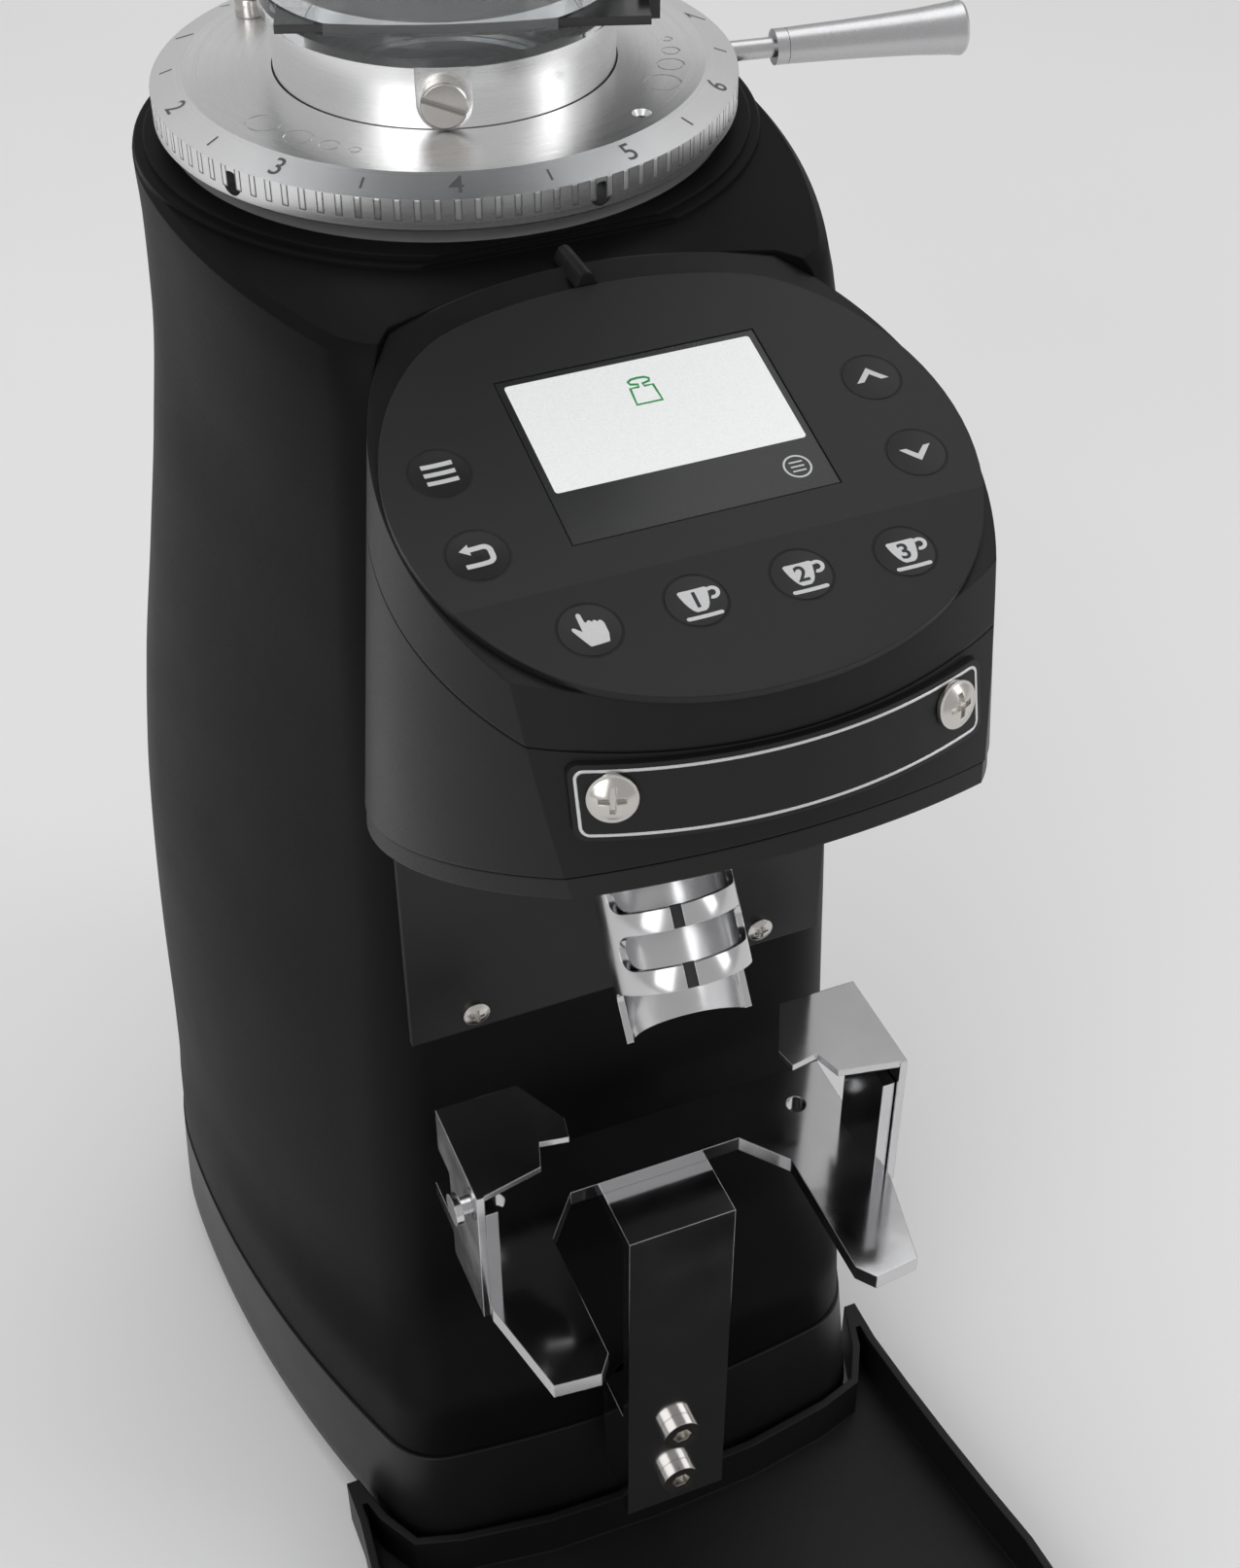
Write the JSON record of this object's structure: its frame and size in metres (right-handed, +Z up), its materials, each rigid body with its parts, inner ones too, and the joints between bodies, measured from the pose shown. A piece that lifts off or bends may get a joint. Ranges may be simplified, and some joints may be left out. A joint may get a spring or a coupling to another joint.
{
  "type": "electronic burr coffee grinder",
  "caption": "Grind-by-weight espresso grinder: tapered body with hopper, stepped grind collar and lever, sloping control head, chrome spout, weighing fork with clips, tray.",
  "frame": {"origin": "on the grinding axis, at the plane of the four feet", "axes": "+Z up along the grinding axis, -Y towards the control head and the spout, +X to the right seen from the front"},
  "size_m": [0.1898, 0.3295, 0.5035],
  "materials": {
    "plinth_paint": "satin black powder coat",
    "steel": "brushed",
    "rubber": "matt",
    "body_paint": "satin black powder coat, fine texture",
    "black_steel": "satin black coat on bent sheet",
    "black_plastic": "matt black",
    "red_rocker": "gloss red",
    "panel_plastic": "fine matt charcoal",
    "screen": "lit colour screen",
    "circuit_board": "green board",
    "badge_plate": "matt black with a bright edge, bare",
    "screw_steel": "zinc plated",
    "chrome": "mirror chrome",
    "cast_aluminium": "as cast and machined",
    "iron_stack": "stacked sheets",
    "copper_winding": "varnished copper",
    "burr_steel": "hardened and ground",
    "capacitor_can": "off-white",
    "load_cell_metal": "milled",
    "neck_aluminium": "fine turned",
    "clear_plastic": "clear moulded plastic",
    "smoke_lid": "gloss black",
    "shutter_plastic": "gloss black",
    "collar_aluminium": "turned and satin anodised",
    "brass_part": "cast brass",
    "button_plastic": "matt charcoal with light icons"
  },
  "bodies": {
    "grinder": {"base_plinth": "plinth_paint", "base_plate": "steel", "rubber_feet": "rubber", "body_casting": "body_paint", "service_panel": "black_steel", "mains_inlet": "black_plastic", "power_switch": "black_plastic", "head_housing": "body_paint", "head_cover": "body_paint", "head_bottom": "black_plastic", "fascia_panel": "panel_plastic", "display_module": "screen", "display_board": "circuit_board", "nameplate": "badge_plate", "nameplate_screws": "screw_steel", "column_plate": "black_steel", "column_plate_screws": "screw_steel", "spout": "chrome", "exit_duct": "black_plastic", "grinding_chamber": "cast_aluminium", "carrier_springs": "steel", "stator_core": "iron_stack", "stator_winding": "copper_winding", "motor_frame": "cast_aluminium", "bearings": "burr_steel", "run_capacitor": "capacitor_can", "control_board": "circuit_board", "load_cell": "load_cell_metal", "fork_bracket": "steel", "fork_bolts": "screw_steel", "fork": "black_steel"},
    "power_rocker": {"power_rocker": "red_rocker"},
    "tray": {"tray": "black_plastic"},
    "carriage": {"upper_burr_carrier": "neck_aluminium", "upper_burr": "burr_steel", "neck_screws": "screw_steel", "shutter_frame": "clear_plastic", "hopper": "clear_plastic"},
    "hopper_lid": {"hopper_lid": "smoke_lid"},
    "shutter": {"shutter": "shutter_plastic"},
    "grind_collar": {"collar": "collar_aluminium", "lever_rod": "steel", "lever_grip": "steel"},
    "rotor": {"motor_shaft": "burr_steel", "rotor_core": "iron_stack", "lower_burr_carrier": "brass_part", "lower_burr": "burr_steel", "burr_screws": "screw_steel", "burr_nut": "steel", "cooling_fan": "black_plastic"},
    "clip_left": {"clip_left": "black_steel"},
    "clip_right": {"clip_right": "black_steel"},
    "button_menu": {"button_menu": "button_plastic"},
    "button_back": {"button_back": "button_plastic"},
    "button_up": {"button_up": "button_plastic"},
    "button_down": {"button_down": "button_plastic"},
    "button_manual": {"button_manual": "button_plastic"},
    "button_dose_1": {"button_dose_1": "button_plastic"},
    "button_dose_2": {"button_dose_2": "button_plastic"},
    "button_dose_3": {"button_dose_3": "button_plastic"}
  },
  "joints": [
    {"name": "carrier_lift", "type": "slide", "parent": "grinder", "child": "carriage", "axis": [0, 0, 1], "range_m": [-0.00026, 0.0013], "deforming": ["carrier_springs"]},
    {"name": "collar_turn", "type": "hinge", "parent": "carriage", "child": "grind_collar", "pos_m": [0, 0, 0.34], "axis": [0, 0, 1], "range_deg": [-60, 300]},
    {"name": "rotor_spin", "type": "hinge", "parent": "grinder", "child": "rotor", "pos_m": [0, 0, 0.2], "axis": [0, 0, 1], "continuous": true},
    {"name": "lid_lift", "type": "slide", "parent": "carriage", "child": "hopper_lid", "axis": [0, 0, 1], "range_m": [0, 0.08]},
    {"name": "shutter_slide", "type": "slide", "parent": "carriage", "child": "shutter", "axis": [0.9461, -0.3239, 0], "range_m": [0, 0.045]},
    {"name": "tray_slide", "type": "slide", "parent": "grinder", "child": "tray", "axis": [0, -1, 0], "range_m": [0, 0.12]},
    {"name": "power_rock", "type": "hinge", "parent": "grinder", "child": "power_rocker", "pos_m": [0.017, 0.086, 0.083], "axis": [1, 0, 0], "range_deg": [-18, 0]},
    {"name": "clip_left_swing", "type": "hinge", "parent": "grinder", "child": "clip_left", "pos_m": [-0.0468, -0.121, 0.164], "axis": [1, 0, 0], "range_deg": [-6, 22], "stiffness_Nm_per_rad": 0.25},
    {"name": "clip_right_swing", "type": "hinge", "parent": "grinder", "child": "clip_right", "pos_m": [0.0468, -0.121, 0.164], "axis": [1, 0, 0], "range_deg": [-6, 22], "stiffness_Nm_per_rad": 0.25},
    {"name": "press_menu", "type": "slide", "parent": "grinder", "child": "button_menu", "axis": [0, 0.2672, -0.9636], "range_m": [0, 0.0006], "stiffness_N_per_m": 900},
    {"name": "press_back", "type": "slide", "parent": "grinder", "child": "button_back", "axis": [0, 0.2672, -0.9636], "range_m": [0, 0.0006], "stiffness_N_per_m": 900},
    {"name": "press_up", "type": "slide", "parent": "grinder", "child": "button_up", "axis": [0, 0.2672, -0.9636], "range_m": [0, 0.0006], "stiffness_N_per_m": 900},
    {"name": "press_down", "type": "slide", "parent": "grinder", "child": "button_down", "axis": [0, 0.2672, -0.9636], "range_m": [0, 0.0006], "stiffness_N_per_m": 900},
    {"name": "press_manual", "type": "slide", "parent": "grinder", "child": "button_manual", "axis": [0, 0.2672, -0.9636], "range_m": [0, 0.0006], "stiffness_N_per_m": 900},
    {"name": "press_dose_1", "type": "slide", "parent": "grinder", "child": "button_dose_1", "axis": [0, 0.2672, -0.9636], "range_m": [0, 0.0006], "stiffness_N_per_m": 900},
    {"name": "press_dose_2", "type": "slide", "parent": "grinder", "child": "button_dose_2", "axis": [0, 0.2672, -0.9636], "range_m": [0, 0.0006], "stiffness_N_per_m": 900},
    {"name": "press_dose_3", "type": "slide", "parent": "grinder", "child": "button_dose_3", "axis": [0, 0.2672, -0.9636], "range_m": [0, 0.0006], "stiffness_N_per_m": 900}
  ],
  "couplings": [
    {"joint": "carrier_lift", "follows": "collar_turn", "m_per_rad": 0.00023873}
  ]
}
